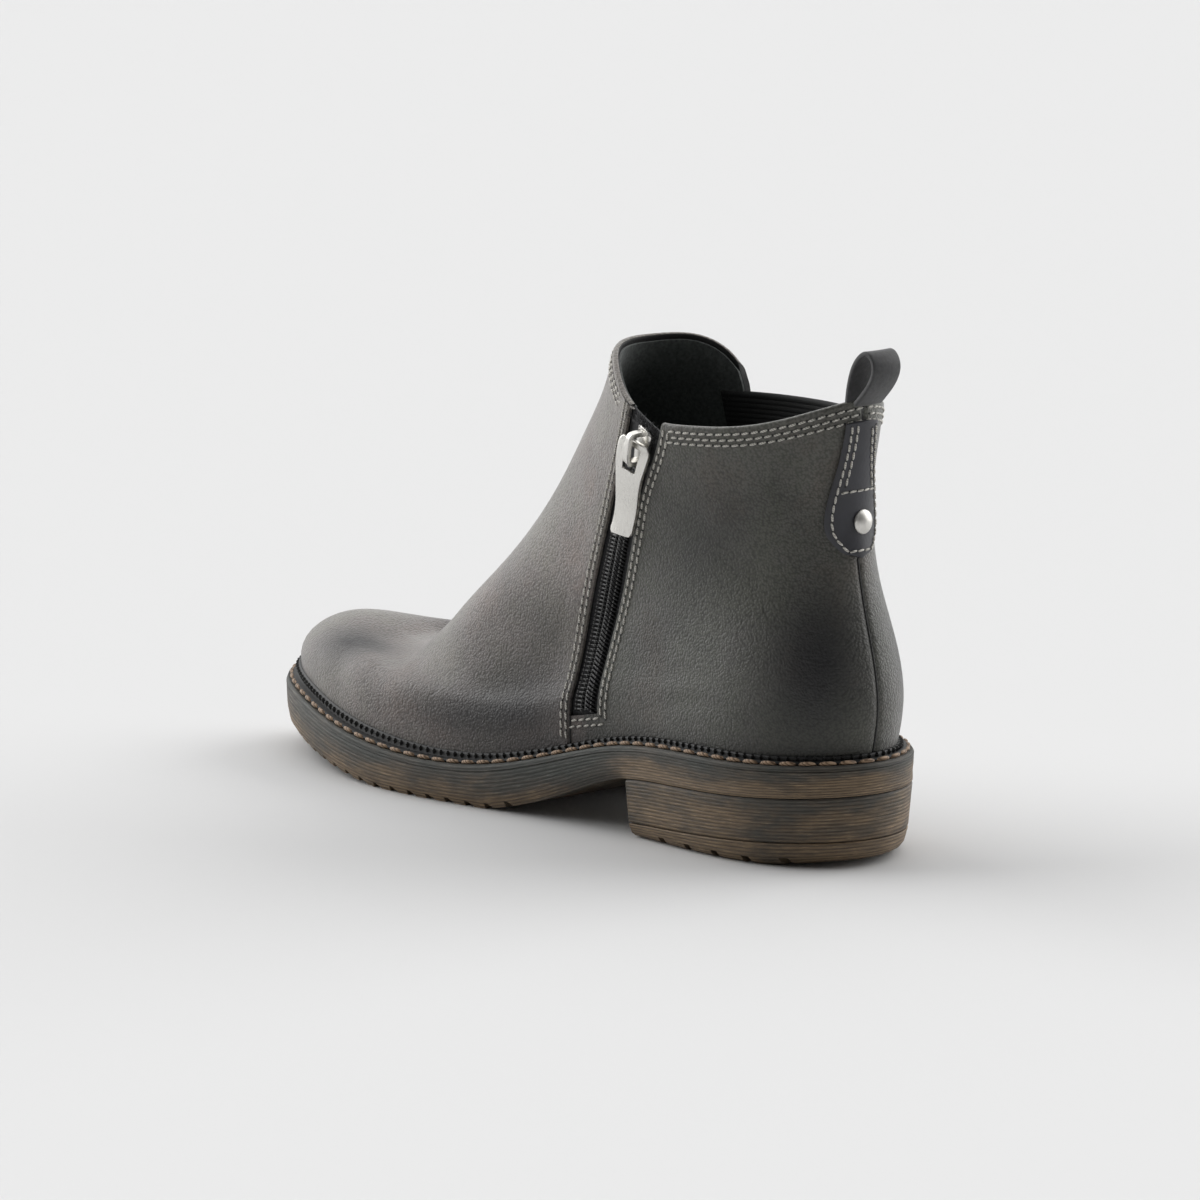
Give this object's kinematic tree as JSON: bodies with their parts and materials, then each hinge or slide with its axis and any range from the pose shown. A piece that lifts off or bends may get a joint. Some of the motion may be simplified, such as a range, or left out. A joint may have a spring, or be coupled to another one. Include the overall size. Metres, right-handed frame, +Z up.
{
  "type": "ankle bootie",
  "caption": "Ankle-high leather bootie with an inside zip, an elastic gore, a heel tab with a pull loop, a stitched welt and a lugged sole with a low block heel.",
  "frame": {"origin": "middle of the boot's bounding box at the floor, under the sole", "axes": "+X from toe to heel, +Y to the outside of the foot, +Z up"},
  "size_m": [0.2742, 0.1, 0.1596],
  "materials": {
    "grey_leather": "pebbled, satin",
    "dark_leather": "smooth, slightly glossy",
    "sole_rubber": "matt, striated",
    "welt_rubber": "matt",
    "sock_cloth": "matt",
    "elastic": "ribbed",
    "zip_cloth": "woven",
    "zip_plastic": "satin",
    "webbing": "matt",
    "nickel": "satin nickel"
  },
  "bodies": {
    "boot": {"outsole": "sole_rubber", "heel": "sole_rubber", "heel_lift": "sole_rubber", "welt": "welt_rubber", "insole": "sock_cloth", "upper": "grey_leather", "gore": "elastic", "zip_tape": "zip_cloth", "zip_coil": "zip_plastic", "zip_slider": "nickel", "heel_tab": "dark_leather", "tab_rivet": "nickel", "pull_loop": "webbing"},
    "zip_pull": {"zip_pull": "nickel"}
  },
  "joints": [
    {"name": "pull_swing", "type": "hinge", "parent": "boot", "child": "zip_pull", "pos_m": [0.0575, -0.03611, 0.12575], "axis": [-0.8761, 0.1169, 0.4678], "range_deg": [0, 150]}
  ]
}
